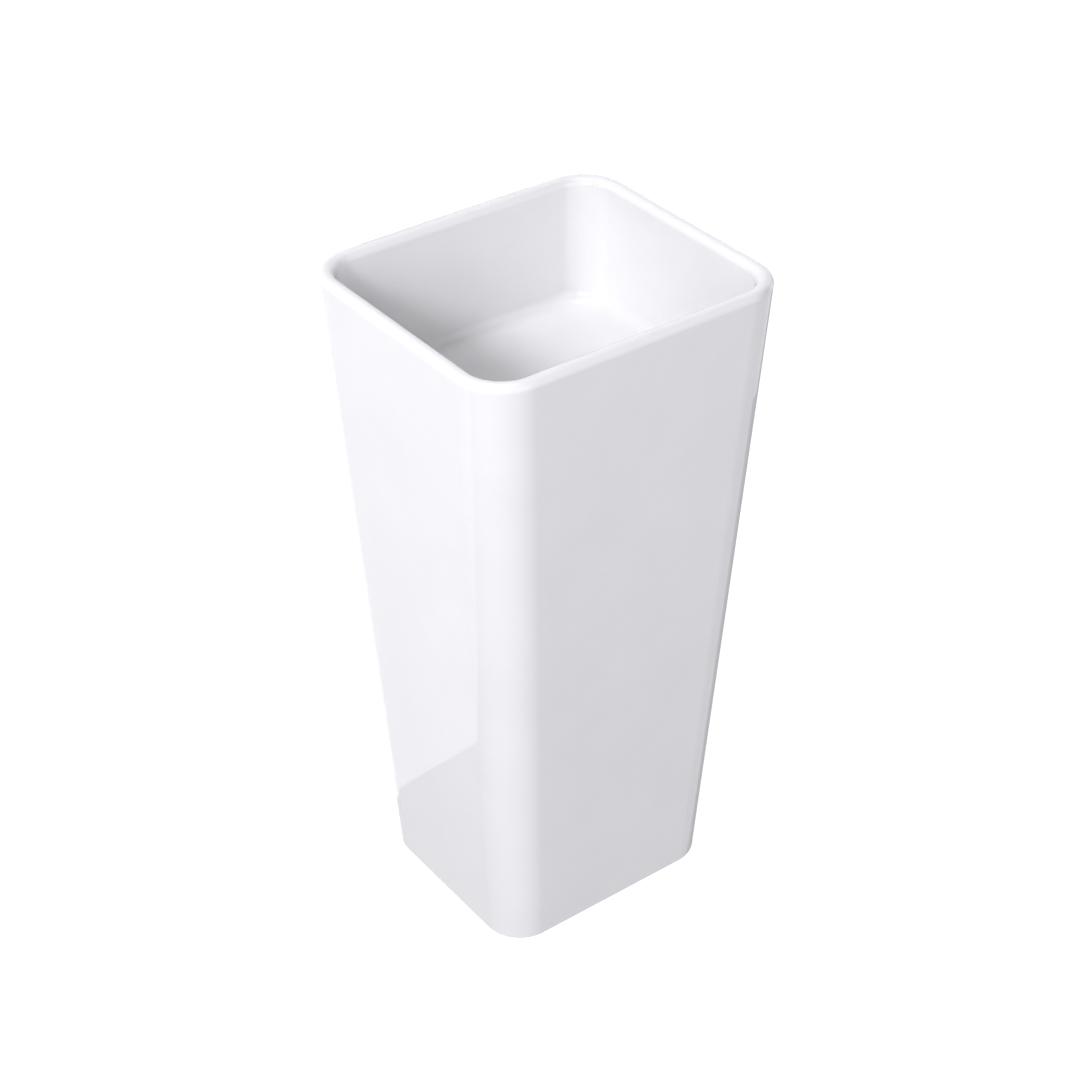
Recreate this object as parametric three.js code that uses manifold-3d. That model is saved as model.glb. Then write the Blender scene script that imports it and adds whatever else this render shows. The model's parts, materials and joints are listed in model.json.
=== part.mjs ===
// Freestanding tower washbasin: a one-piece tapered ceramic body whose top is the bowl, with its click
// waste, bottle trap, wall outlet and floor fixings. Millimetres, +Z up. The origin is on the floor under
// the middle of the body, -Y is the user's side and +Y the wall side.

import * as THREE from "three";
import { mergeVertices } from "three/addons/utils/BufferGeometryUtils.js";
import Module from "manifold-3d";

const wasm = await Module();
wasm.setup();

// ---------- driving dimensions ----------

const HEIGHT = 850;
const RIM_OUTLINE = { halfX: 211.5, halfY: 186, corner: 61 };
const FOOT_OUTLINE = { halfX: 160, halfY: 140, corner: 49.5 };
const RIM_ROUND_OUT = 10; // the rim is fully round: these two radii meet on its crest
const RIM_ROUND_IN = 10;
const BOWL_WALL = RIM_ROUND_OUT + RIM_ROUND_IN;
const SHELL_WALL = 13; // below the bowl
const FOOT_EASE = 1.5;
const BOWL_FLOOR = 691; // at the foot of the walls, from where it falls to the waste
const BOWL_COVE = 16;
const SLAB_UNDERSIDE = 674;
const SLAB_COVE = 20;

const WASTE_SEAT = 682; // top of the ceramic round the waste hole
const WASTE_HOLE = 23; // radius
const RECESS = { radius: 35.5, lip: 4.5 }; // round sink for the waste flange, and its height over the seat
const BOSS = { radius: 38, bottom: 668, flare: 4 };

const SLOT = { halfWidth: 75, top: 600, corner: 40 }; // rear access slot
const FIXING = { x: 94, z: 60, hole: 6 };

const GAP = 0.3; // between touching pieces
const THREAD_GAP = 0.4; // between a nut and the thread that it runs on
const RADIAL_STEPS = 24; // sides of every turned piece
const CORNER_STEPS = 9; // points on each corner of an outline
const ARC_STEPS = 5; // steps on each rounded edge

// Waste, from the top down; the tail is a G 1 1/4 thread
const TAIL = { outer: 20.95, bore: 18.6, bottom: 612 };
const FLANGE = { radius: 31.5, lift: 1.6, edge: 0.7, mouth: 20.5 };
const CAP = { radius: 32, top: 690, dome: 2.2, underside: 2.8, lip: 4.1 };
const CAP_BOSS = { radius: 6.5, drop: 9, tapped: 3.3 };
const CAP_SOCKET = CAP.top - 3.8; // blind end of the tapped hole in the cap's boss
const PLUG_SEAL = { inner: 22, outer: 27 };
const SPIDER = { bottom: 626, top: 633.7, hub: 8, hole: 4.2, arm: 4, armHeight: 6 };
const CARTRIDGE = { radius: 9, bore: 7.4, mouth: 4.2, stud: 3.9, floor: 636, top: 668 };
const STEM = { radius: 3.5, screw: 3 };
const STEM_COLLAR = { bottom: 652, radius: 6.8, height: 2 };
const SPRING = { radius: 5.6, wire: 0.6, turns: 5 };
const CLAMP_RADIUS = 32; // seal and washer under the ceramic
const FLANGE_SEAL_RADIUS = 30.5;
const SEAL_HEIGHT = 3;
const WASHER_HEIGHT = 1.5;
const BACK_NUT = { acrossFlats: 54, height: 10.5 };

// Bottle trap, 32 mm pipe
const PIPE = { outer: 16, bore: 14.2 };
const DIP_TUBE_END = 450;
const UNION_COLLAR = { radius: TAIL.outer - 0.15, bottom: TAIL.bottom - 5.2, top: TAIL.bottom - 2.9 };
const UNION_NUT = { outer: 25.5, engaged: 6, drop: 11 };
const HEAD = { radius: 30, bore: 27, bottom: 490, shoulder: 558, neck: 21.2, top: 572 };
const CUP = { bottom: 428, ledge: 486.6, top: 507, radius: 31, bore: 27.6, collar: 35 };
const OUTLET_Z = 533;
const SPOUT = { outer: 20, start: 18, socket: 16.4, socketStart: 42, end: 52 };
const TOP_NUT_RADIUS = 27;
const OUTLET_NUT = { outer: 25, engaged: 14 };
const ROSETTE = { depth: 9, radius: 35, wall: 3 };

// M6 floor fixings
const SCREW = { shank: 3, head: 10, headStart: 4.5, headEnd: 8.5, spare: 10 };
const ANGLE = { sheet: 3, width: 26, rise: 20, floorLeg: 50, screwHole: 4.2 };
const FLOOR_HOLE = { radius: 3.5, fromWall: 32 };
const SLEEVE = { flange: 9, flangeTop: 2.3 };
const WASHER = { radius: 6.2, bottom: 2.6, top: 4.2 };
const NUT_HEIGHT = 5;

// ---------- colours ----------

const FINISHES = {
  ceramic: { color: 0xf6f6f4, roughness: 0.08, metalness: 0 },
  chrome: { color: 0xc9ccd0, roughness: 0.08, metalness: 1 },
  brass: { color: 0xb8974e, roughness: 0.3, metalness: 1 },
  steel: { color: 0xa9adb2, roughness: 0.4, metalness: 1 },
  rubber: { color: 0x1c1c1d, roughness: 0.8, metalness: 0 },
  whitePlastic: { color: 0xeeeeea, roughness: 0.4, metalness: 0 },
  greyPlastic: { color: 0x8d9196, roughness: 0.5, metalness: 0 },
};

function piece(name, geometry, finish) {
  const mesh = new THREE.Mesh(geometry, new THREE.MeshStandardMaterial(FINISHES[finish]));
  mesh.name = name;
  return mesh;
}

// ---------- solids ----------

function toSolid(geometry) {
  const bare = geometry.clone();
  bare.deleteAttribute("normal");
  bare.deleteAttribute("uv");
  const merged = mergeVertices(bare, 1e-3);
  return new wasm.Manifold(
    new wasm.Mesh({
      numProp: 3,
      vertProperties: merged.attributes.position.array,
      triVerts: new Uint32Array(merged.index.array),
    }),
  );
}

function toGeometry(solid) {
  const mesh = solid.getMesh();
  const geometry = new THREE.BufferGeometry();
  geometry.setAttribute("position", new THREE.BufferAttribute(mesh.vertProperties, 3));
  geometry.setIndex(new THREE.BufferAttribute(mesh.triVerts, 1));
  return geometry;
}

// A turned shape about +Z. The [radius, z] profile runs up the outside, and closes on the axis or on itself.
function turned(profile) {
  const points = profile.map(([radius, z]) => new THREE.Vector2(radius, z));
  return new THREE.LatheGeometry(points, RADIAL_STEPS).rotateX(Math.PI / 2);
}

function tube(inner, outer, bottom, top) {
  return turned([
    [inner, bottom],
    [outer, bottom],
    [outer, top],
    [inner, top],
    [inner, bottom],
  ]);
}

function rod(radius, bottom, top) {
  return turned([
    [0, bottom],
    [radius, bottom],
    [radius, top],
    [0, top],
  ]);
}

function hexTube(acrossFlats, bore, bottom, top) {
  const hex = new THREE.Shape();
  for (let corner = 0; corner < 6; corner += 1) {
    const angle = (corner * Math.PI) / 3;
    const reach = acrossFlats / Math.sqrt(3);
    const move = corner === 0 ? "moveTo" : "lineTo";
    hex[move](reach * Math.cos(angle), reach * Math.sin(angle));
  }
  hex.closePath();
  const blank = new THREE.ExtrudeGeometry(hex, { depth: top - bottom, bevelEnabled: false });
  blank.translate(0, 0, bottom);
  return toSolid(blank).subtract(toSolid(rod(bore, bottom - 1, top + 1)));
}

// ---------- ceramic body ----------

// The body's outline at a height, moved inwards by an inset
function outline(z, inset) {
  const share = z / HEIGHT;
  const at = (key) => THREE.MathUtils.lerp(FOOT_OUTLINE[key], RIM_OUTLINE[key], share) - inset;
  return { halfX: at("halfX"), halfY: at("halfY"), corner: at("corner") };
}

const rearFace = (z) => outline(z, 0).halfY;
const WALL_PLANE = rearFace(HEIGHT - RIM_ROUND_OUT); // the room's wall touches the back of the rim
const REAR_SLOPE = Math.atan((RIM_OUTLINE.halfY - FOOT_OUTLINE.halfY) / HEIGHT);

function outlineRing(z, inset) {
  const { halfX, halfY, corner } = outline(z, inset);
  const ring = [];
  for (let quarter = 0; quarter < 4; quarter += 1) {
    const signX = quarter === 0 || quarter === 3 ? 1 : -1;
    const signY = quarter < 2 ? 1 : -1;
    for (let step = 0; step < CORNER_STEPS; step += 1) {
      const angle = (quarter + step / (CORNER_STEPS - 1)) * (Math.PI / 2);
      const x = signX * (halfX - corner) + corner * Math.cos(angle);
      const y = signY * (halfY - corner) + corner * Math.sin(angle);
      ring.push([x, y, z]);
    }
  }
  return ring;
}

function circleRing(z, radius) {
  const count = 4 * CORNER_STEPS;
  const ring = [];
  for (let step = 0; step < count; step += 1) {
    const angle = ((step + 0.5) / count) * 2 * Math.PI;
    ring.push([radius * Math.cos(angle), radius * Math.sin(angle), z]);
  }
  return ring;
}

// Rings on a quarter arc about a centre line, given as an inset and a height
function arcRings(centreInset, centreZ, radius, fromAngle, toAngle) {
  const rings = [];
  for (let step = 0; step <= ARC_STEPS; step += 1) {
    const angle = THREE.MathUtils.lerp(fromAngle, toAngle, step / ARC_STEPS);
    const inset = centreInset + radius * Math.cos(angle);
    rings.push(outlineRing(centreZ + radius * Math.sin(angle), inset));
  }
  return rings;
}

// Joins rings of equal length into one closed skin, the last ring back to the first
function ringSkin(rings) {
  const count = rings[0].length;
  const positions = new Float32Array(rings.flat(2));
  const index = [];
  rings.forEach((_, row) => {
    const above = (row + 1) % rings.length;
    for (let i = 0; i < count; i += 1) {
      const next = (i + 1) % count;
      const [a, b] = [row * count + i, row * count + next];
      const [c, d] = [above * count + next, above * count + i];
      index.push(a, b, c, a, c, d);
    }
  });
  const geometry = new THREE.BufferGeometry();
  geometry.setAttribute("position", new THREE.BufferAttribute(positions, 3));
  geometry.setIndex(index);
  return geometry;
}

// Up the outside, over the rim, down the bowl, through the waste hole, and down the hollow foot
function bodyRings() {
  const coveInset = BOWL_WALL + BOWL_COVE;
  const hollowInset = SHELL_WALL + SLAB_COVE;
  return [
    outlineRing(0, FOOT_EASE),
    outlineRing(FOOT_EASE, 0),
    ...arcRings(RIM_ROUND_OUT, HEIGHT - RIM_ROUND_OUT, RIM_ROUND_OUT, Math.PI, Math.PI / 2),
    ...arcRings(RIM_ROUND_OUT, HEIGHT - RIM_ROUND_IN, RIM_ROUND_IN, Math.PI / 2, 0).slice(1),
    ...arcRings(coveInset, BOWL_FLOOR + BOWL_COVE, BOWL_COVE, Math.PI, 1.5 * Math.PI),
    circleRing(WASTE_SEAT + RECESS.lip, RECESS.radius + 2.5),
    circleRing(WASTE_SEAT + RECESS.lip - 1, RECESS.radius + 0.5),
    circleRing(WASTE_SEAT, RECESS.radius),
    circleRing(WASTE_SEAT, WASTE_HOLE),
    circleRing(BOSS.bottom, WASTE_HOLE),
    circleRing(BOSS.bottom, BOSS.radius),
    circleRing(SLAB_UNDERSIDE, BOSS.radius + BOSS.flare),
    ...arcRings(hollowInset, SLAB_UNDERSIDE - SLAB_COVE, SLAB_COVE, Math.PI / 2, Math.PI),
    outlineRing(0, SHELL_WALL),
  ];
}

// The arch-topped slot in the rear wall, open at the floor
function slotCutter() {
  const { halfWidth, top, corner } = SLOT;
  const arch = new THREE.Shape();
  arch.moveTo(-halfWidth, -10);
  arch.lineTo(halfWidth, -10);
  arch.lineTo(halfWidth, top - corner);
  arch.absarc(halfWidth - corner, top - corner, corner, 0, Math.PI / 2, false);
  arch.lineTo(corner - halfWidth, top);
  arch.absarc(corner - halfWidth, top - corner, corner, Math.PI / 2, Math.PI, false);
  arch.closePath();
  const depth = 100;
  const cutter = new THREE.ExtrudeGeometry(arch, { depth, bevelEnabled: false, curveSegments: 8 });
  return toSolid(cutter.rotateX(Math.PI / 2).translate(0, rearFace(0) - 40 + depth, 0));
}

// Turns local +Z to point straight out of the leaning rear face
function placeOnRearFace(object, side) {
  object.rotation.x = -(Math.PI / 2 + REAR_SLOPE);
  object.position.set(side * FIXING.x, rearFace(FIXING.z), FIXING.z);
  object.updateMatrix();
  return object;
}

function rearHole(radius, side) {
  const drill = rod(radius, -40, 20);
  return toSolid(drill.applyMatrix4(placeOnRearFace(new THREE.Object3D(), side).matrix));
}

function ceramicBody() {
  let body = toSolid(ringSkin(bodyRings())).subtract(slotCutter());
  for (const side of [-1, 1]) {
    body = body.subtract(rearHole(FIXING.hole, side));
  }
  return piece("ceramic_body", toGeometry(body), "ceramic");
}

// ---------- click waste ----------

function plugCap() {
  const { radius, top, dome, underside, lip } = CAP;
  const edge = radius - 1.5;
  const rings = 4;
  const crown = [];
  for (let ring = 0; ring <= rings; ring += 1) {
    const share = 1 - ring / rings;
    crown.push([edge * share, top - dome * share ** 2]);
  }
  const profile = [
    [0, CAP_SOCKET],
    [CAP_BOSS.tapped, CAP_SOCKET],
    [CAP_BOSS.tapped, top - CAP_BOSS.drop],
    [CAP_BOSS.radius, top - CAP_BOSS.drop],
    [CAP_BOSS.radius, top - underside],
    [radius - 4, top - underside],
    [radius - 2.5, top - lip],
    [radius - 0.4, top - lip],
    [radius, top - lip + 0.7],
    ...crown,
  ];
  return piece("plug_cap", turned(profile), "chrome");
}

// A washer with a sloped underside, which closes on the dish of the flange
function plugSeal() {
  const { inner, outer } = PLUG_SEAL;
  const top = CAP.top - CAP.underside - GAP;
  const bottom = WASTE_SEAT + FLANGE.lift + GAP;
  const profile = [
    [inner, bottom],
    [outer - 0.5, bottom + 1.05],
    [outer, top],
    [inner, top],
    [inner, bottom],
  ];
  return piece("plug_seal", turned(profile), "rubber");
}

function plugStem() {
  const { bottom, radius, height } = STEM_COLLAR;
  const shoulder = CAP.top - CAP_BOSS.drop - GAP;
  const profile = [
    [0, bottom],
    [radius, bottom],
    [radius, bottom + height],
    [STEM.radius, bottom + height],
    [STEM.radius, shoulder],
    [STEM.screw, shoulder],
    [STEM.screw, CAP_SOCKET - GAP],
    [0, CAP_SOCKET - GAP],
  ];
  return piece("plug_stem", turned(profile), "brass");
}

// A cup on a stud: the stud goes through the spider, and the stem's collar runs in the cup
function clickCartridge() {
  const { radius, bore, mouth, stud, floor, top } = CARTRIDGE;
  const studEnd = SPIDER.bottom - 5;
  const lid = 2;
  const profile = [
    [0, studEnd],
    [stud, studEnd],
    [stud, SPIDER.top + GAP],
    [radius, SPIDER.top + GAP],
    [radius, top],
    [mouth, top],
    [mouth, top - lid],
    [bore, top - lid],
    [bore, floor],
    [0, floor],
  ];
  return piece("click_cartridge", turned(profile), "greyPlastic");
}

class Helix extends THREE.Curve {
  constructor(radius, bottom, top, turns) {
    super();
    Object.assign(this, { radius, bottom, top, turns });
  }

  getPoint(share, target = new THREE.Vector3()) {
    const angle = share * this.turns * 2 * Math.PI;
    const z = THREE.MathUtils.lerp(this.bottom, this.top, share);
    return target.set(this.radius * Math.cos(angle), this.radius * Math.sin(angle), z);
  }
}

function clickSpring() {
  const { radius, wire, turns } = SPRING;
  const bottom = CARTRIDGE.floor + GAP + wire;
  const top = STEM_COLLAR.bottom - GAP - wire;
  const section = new THREE.Shape().absarc(0, 0, wire, 0, 2 * Math.PI, false);
  const options = { steps: turns * 12, curveSegments: 3, extrudePath: new Helix(radius, bottom, top, turns) };
  return piece("click_spring", new THREE.ExtrudeGeometry(section, options), "steel");
}

// A dished flange on a threaded tail, with a cross of arms that carries the cartridge
function wasteBody() {
  const underside = WASTE_SEAT + FLANGE.lift;
  const shell = turned([
    [TAIL.bore, TAIL.bottom],
    [TAIL.outer, TAIL.bottom],
    [TAIL.outer, underside],
    [FLANGE.radius, underside],
    [FLANGE.radius, underside + FLANGE.edge],
    [FLANGE.radius - FLANGE.edge, underside + 2 * FLANGE.edge],
    [FLANGE.radius - 2.5, underside + FLANGE.lift],
    [FLANGE.mouth, underside - 0.4],
    [TAIL.bore, underside - 2.6],
    [TAIL.bore, TAIL.bottom],
  ]);
  let body = toSolid(shell).add(toSolid(rod(SPIDER.hub, SPIDER.bottom, SPIDER.top)));
  const span = 2 * TAIL.bore + 2;
  for (const [sizeX, sizeY] of [[span, SPIDER.arm], [SPIDER.arm, span]]) {
    const bar = new THREE.BoxGeometry(sizeX, sizeY, SPIDER.armHeight);
    body = body.add(toSolid(bar.translate(0, 0, SPIDER.bottom + 0.5 + SPIDER.armHeight / 2)));
  }
  const hubHole = rod(SPIDER.hole, SPIDER.bottom - 1, SPIDER.top + 1);
  return piece("waste_body", toGeometry(body.subtract(toSolid(hubHole))), "chrome");
}

function wasteClamp() {
  const inner = TAIL.outer + THREAD_GAP;
  const sealTop = BOSS.bottom - GAP;
  const washerTop = sealTop - SEAL_HEIGHT - GAP;
  const nutTop = washerTop - WASHER_HEIGHT - GAP;
  const nut = hexTube(BACK_NUT.acrossFlats, inner, nutTop - BACK_NUT.height, nutTop);
  const seat = { bottom: WASTE_SEAT + GAP, top: WASTE_SEAT + FLANGE.lift - GAP };
  const flangeSeal = tube(WASTE_HOLE + 0.4, FLANGE_SEAL_RADIUS, seat.bottom, seat.top);
  return [
    piece("flange_seal", flangeSeal, "rubber"),
    piece("under_seal", tube(inner, CLAMP_RADIUS, sealTop - SEAL_HEIGHT, sealTop), "rubber"),
    piece("slip_washer", tube(inner, CLAMP_RADIUS, washerTop - WASHER_HEIGHT, washerTop), "whitePlastic"),
    piece("back_nut", toGeometry(nut), "brass"),
  ];
}

// ---------- bottle trap ----------

// A collar nut about +Z: a threaded sleeve that narrows to a lip at its far end
function collarNut(name, { sleeve, lip, outer, start, lipStart, end }) {
  const profile = [
    [lip, end],
    [lip, lipStart],
    [sleeve, lipStart],
    [sleeve, start],
    [outer, start],
    [outer, end],
    [lip, end],
  ];
  const upward = end > start;
  return piece(name, turned(upward ? profile : profile.reverse()), "whitePlastic");
}

function trapInlet() {
  const dipTube = turned([
    [PIPE.bore, DIP_TUBE_END],
    [PIPE.outer, DIP_TUBE_END],
    [PIPE.outer, UNION_COLLAR.bottom],
    [UNION_COLLAR.radius, UNION_COLLAR.bottom],
    [UNION_COLLAR.radius, UNION_COLLAR.top],
    [PIPE.bore, UNION_COLLAR.top],
    [PIPE.bore, DIP_TUBE_END],
  ]);
  const seal = tube(PIPE.outer + 0.6, UNION_COLLAR.radius, UNION_COLLAR.top + GAP, TAIL.bottom - GAP);
  return [
    collarNut("trap_union_nut", {
      sleeve: TAIL.outer + THREAD_GAP,
      lip: PIPE.outer + 0.5,
      outer: UNION_NUT.outer,
      start: TAIL.bottom + UNION_NUT.engaged,
      lipStart: UNION_COLLAR.bottom - GAP,
      end: TAIL.bottom - UNION_NUT.drop,
    }),
    piece("trap_union_seal", seal, "rubber"),
    piece("trap_dip_tube", dipTube, "whitePlastic"),
  ];
}

function trapHead() {
  const { radius, bore, bottom, shoulder, neck, top } = HEAD;
  const outside = turned([
    [0, bottom],
    [radius, bottom],
    [radius, shoulder],
    [radius - 2, shoulder + 2.5],
    [neck, shoulder + 3],
    [neck, top],
    [0, top],
  ]);
  const inside = turned([
    [0, bottom - 1],
    [bore, bottom - 1],
    [bore, shoulder - 4],
    [bore - 3, shoulder - 1],
    [SPOUT.socket, shoulder - 1],
    [SPOUT.socket, top + 1],
    [0, top + 1],
  ]);
  const alongY = (geometry) => toSolid(geometry.rotateX(-Math.PI / 2).translate(0, 0, OUTLET_Z));
  const head = toSolid(outside)
    .add(alongY(rod(SPOUT.outer, SPOUT.start, SPOUT.end)))
    .subtract(toSolid(inside))
    .subtract(alongY(rod(PIPE.bore, SPOUT.start - 3, SPOUT.end + 1)))
    .subtract(alongY(rod(SPOUT.socket, SPOUT.socketStart, SPOUT.end + 1)));
  return piece("trap_head", toGeometry(head), "whitePlastic");
}

function trapTopSeal() {
  const { neck, shoulder, top } = HEAD;
  const seal = { bottom: top + GAP, top: top + 3.7 };
  return [
    piece("trap_top_seal", tube(PIPE.outer + GAP, neck - THREAD_GAP, seal.bottom, seal.top), "rubber"),
    collarNut("trap_top_nut", {
      sleeve: neck + THREAD_GAP,
      lip: PIPE.outer + 0.5,
      outer: TOP_NUT_RADIUS,
      start: shoulder + 4,
      lipStart: seal.top + GAP,
      end: seal.top + 7,
    }),
  ];
}

function trapCup() {
  const { bottom, ledge, top, radius, bore, collar } = CUP;
  const cup = turned([
    [0, bottom],
    [radius - 11, bottom],
    [radius - 4, bottom + 3],
    [radius - 0.5, bottom + 10],
    [radius, ledge - 5],
    [collar, ledge],
    [collar, top],
    [HEAD.radius + THREAD_GAP, top],
    [HEAD.radius + THREAD_GAP, ledge],
    [bore, ledge],
    [bore, bottom + 12],
    [bore - 4, bottom + 6],
    [0, bottom + 4],
  ]);
  return [
    piece("trap_cup", cup, "whitePlastic"),
    piece("trap_cup_seal", tube(bore + 0.1, HEAD.radius, ledge + GAP, HEAD.bottom - GAP), "rubber"),
  ];
}

// A shallow bell: its flat rim meets the wall, and its inner edge slides on the pipe
function rosetteProfile() {
  const { depth, radius, wall } = ROSETTE;
  const start = WALL_PLANE - depth;
  const inner = PIPE.outer + GAP;
  return [
    [inner, start],
    [PIPE.outer + wall, start],
    [PIPE.outer + wall + 2, start + 1],
    [radius - 4, start + 5],
    [radius, start + 8],
    [radius, WALL_PLANE - GAP],
    [radius - 1.5, WALL_PLANE - GAP],
    [radius - 5.5, start + 6.5],
    [inner, start + wall],
    [inner, start],
  ];
}

// Everything on the outlet's axis is turned about +Z, then laid along +Y
function wallOutlet() {
  const seal = { start: SPOUT.end + GAP, end: SPOUT.end + GAP + SEAL_HEIGHT };
  const outlet = new THREE.Group();
  outlet.rotation.x = -Math.PI / 2;
  outlet.position.z = OUTLET_Z;
  outlet.add(
    collarNut("outlet_nut", {
      sleeve: SPOUT.outer + THREAD_GAP,
      lip: PIPE.outer + 0.5,
      outer: OUTLET_NUT.outer,
      start: SPOUT.end - OUTLET_NUT.engaged,
      lipStart: seal.end + GAP,
      end: seal.end + 5,
    }),
    piece("outlet_seal", tube(PIPE.outer + GAP, SPOUT.outer, seal.start, seal.end), "rubber"),
    piece("outlet_pipe", tube(PIPE.bore, PIPE.outer, SPOUT.socketStart + 0.4, WALL_PLANE), "whitePlastic"),
    piece("wall_rosette", turned(rosetteProfile()), "chrome"),
  );
  return outlet;
}

// ---------- floor fixings, one on each side of the slot ----------

// A steel angle: one leg on the floor, one against the inside of the leaning rear wall
function floorBracket(name, side) {
  const { sheet, width, rise, floorLeg } = ANGLE;
  const top = FIXING.z + rise;
  const rear = (z) => rearFace(z) - SHELL_WALL - 0.4;
  const shape = new THREE.Shape();
  shape.moveTo(rear(0), 0);
  shape.lineTo(rear(top), top);
  shape.lineTo(rear(top) - sheet, top);
  shape.lineTo(rear(sheet) - sheet, sheet);
  shape.lineTo(rear(0) - floorLeg, sheet);
  shape.lineTo(rear(0) - floorLeg, 0);
  shape.closePath();
  const blank = new THREE.ExtrudeGeometry(shape, { depth: width, bevelEnabled: false });
  const [axisX, axisY, axisZ] = [[1, 0, 0], [0, 1, 0], [0, 0, 1]].map((v) => new THREE.Vector3(...v));
  blank.applyMatrix4(new THREE.Matrix4().makeBasis(axisY, axisZ, axisX));
  blank.translate(side * FIXING.x - width / 2, 0, 0);
  const floorHole = rod(FLOOR_HOLE.radius, -1, sheet + 1);
  floorHole.translate(side * FIXING.x, rear(0) - FLOOR_HOLE.fromWall, 0);
  const bracket = toSolid(blank).subtract(toSolid(floorHole)).subtract(rearHole(ANGLE.screwHole, side));
  return piece(name, toGeometry(bracket), "steel");
}

function screwSleeve() {
  const inner = SCREW.shank + THREAD_GAP;
  const outer = FIXING.hole - THREAD_GAP;
  const end = 1 - SHELL_WALL;
  return turned([
    [inner, end],
    [outer, end],
    [outer, GAP],
    [SLEEVE.flange, GAP],
    [SLEEVE.flange, SLEEVE.flangeTop],
    [inner, SLEEVE.flangeTop],
    [inner, end],
  ]);
}

function coverCap() {
  const outer = SLEEVE.flange + 1.8;
  const inner = SLEEVE.flange + GAP;
  return turned([
    [0, 10],
    [5, 9.6],
    [8, 8.8],
    [inner, 6.6],
    [inner, GAP],
    [outer, GAP],
    [outer, 7],
    [9, 9.8],
    [5, 11],
    [0, 11.4],
  ]);
}

// Local +Z points out of the rear face, and the face is at z = 0
function rearFixing(sideName, side) {
  const { shank, head, headStart, headEnd, spare } = SCREW;
  const bracketFace = -SHELL_WALL - 0.4 - ANGLE.sheet;
  const threaded = toSolid(rod(shank, bracketFace - spare, headEnd - 0.5));
  const screw = hexTube(head, 1, headStart, headEnd).add(threaded);
  const nut = hexTube(head, shank + GAP, bracketFace - GAP - NUT_HEIGHT, bracketFace - GAP);
  const washer = tube(shank + GAP, WASHER.radius, WASHER.bottom, WASHER.top);
  const group = placeOnRearFace(new THREE.Group(), side);
  group.add(
    piece(`${sideName}_screw_sleeve`, screwSleeve(), "whitePlastic"),
    piece(`${sideName}_washer`, washer, "steel"),
    piece(`${sideName}_screw`, toGeometry(screw), "steel"),
    piece(`${sideName}_nut`, toGeometry(nut), "steel"),
    piece(`${sideName}_cover_cap`, coverCap(), "whitePlastic"),
  );
  return group;
}

// ---------- assembly ----------

const basin = new THREE.Group();
basin.add(ceramicBody());
basin.add(plugCap(), plugSeal(), plugStem(), clickCartridge(), clickSpring(), wasteBody(), ...wasteClamp());
basin.add(...trapInlet(), trapHead(), ...trapTopSeal(), ...trapCup(), wallOutlet());
for (const [sideName, side] of [["left", -1], ["right", 1]]) {
  basin.add(floorBracket(`${sideName}_bracket`, side), rearFixing(sideName, side));
}

export default basin;
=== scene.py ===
import json
import math

import bmesh
import bpy
from mathutils import Matrix, Vector

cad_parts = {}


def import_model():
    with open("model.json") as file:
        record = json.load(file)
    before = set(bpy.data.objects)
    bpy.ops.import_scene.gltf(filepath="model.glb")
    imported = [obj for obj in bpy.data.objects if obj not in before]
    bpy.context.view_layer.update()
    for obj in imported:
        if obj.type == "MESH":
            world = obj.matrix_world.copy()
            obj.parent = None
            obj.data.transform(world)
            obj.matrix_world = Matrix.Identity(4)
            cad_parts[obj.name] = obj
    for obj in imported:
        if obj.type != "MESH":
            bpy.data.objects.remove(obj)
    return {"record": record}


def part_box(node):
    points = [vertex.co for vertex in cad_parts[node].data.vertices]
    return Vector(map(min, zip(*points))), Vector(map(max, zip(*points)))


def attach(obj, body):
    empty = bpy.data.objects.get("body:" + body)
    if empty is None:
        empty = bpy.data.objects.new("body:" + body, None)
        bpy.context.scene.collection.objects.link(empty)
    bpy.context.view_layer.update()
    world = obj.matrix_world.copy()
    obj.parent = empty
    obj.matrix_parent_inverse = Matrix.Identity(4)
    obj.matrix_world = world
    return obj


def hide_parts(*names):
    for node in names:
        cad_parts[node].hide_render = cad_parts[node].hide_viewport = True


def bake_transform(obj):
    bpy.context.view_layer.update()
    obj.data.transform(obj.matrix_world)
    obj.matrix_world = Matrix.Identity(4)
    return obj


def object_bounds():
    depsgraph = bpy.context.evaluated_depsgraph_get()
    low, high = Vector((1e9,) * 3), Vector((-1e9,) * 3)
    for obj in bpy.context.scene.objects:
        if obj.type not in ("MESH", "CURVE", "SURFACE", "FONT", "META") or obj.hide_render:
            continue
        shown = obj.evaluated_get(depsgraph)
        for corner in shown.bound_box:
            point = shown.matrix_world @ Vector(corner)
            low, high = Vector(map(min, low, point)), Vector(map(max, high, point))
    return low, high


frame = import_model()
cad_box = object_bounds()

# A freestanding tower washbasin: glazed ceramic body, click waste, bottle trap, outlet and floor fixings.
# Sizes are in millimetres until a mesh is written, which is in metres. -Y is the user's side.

MM = 0.001
TURN = 2 * math.pi
BODY_OF = {n: body for body, nodes in frame["record"]["behaviour"]["bodies"].items() for n in nodes}

# ---------- sizes the pieces share ----------

HEIGHT = cad_box[1][2] / MM
RIM_OUTLINE = {"half_x": 211.5, "half_y": 186.0, "corner": 61.0}
FOOT_OUTLINE = {"half_x": 160.0, "half_y": 140.0, "corner": 49.5}
RIM_ROUND_OUT = 10.0
RIM_ROUND_IN = 10.0
BOWL_WALL = RIM_ROUND_OUT + RIM_ROUND_IN
SHELL_WALL = 13.0
FOOT_EASE = 1.5
BOWL_FLOOR = 691.0
BOWL_COVE = 16.0
SLAB_UNDERSIDE = 674.0
SLAB_COVE = 20.0
WASTE_SEAT = 682.0
WASTE_HOLE = 23.0
FLANGE_RADIUS = 31.5
FLANGE_LIFT = 1.6  # the middle of the waste flange over its seat
RECESS_RADIUS = 35.5
BOSS_RADIUS = 38.0
BOSS_BOTTOM = 668.0
SLOT_HALF_WIDTH = 75.0
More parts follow.
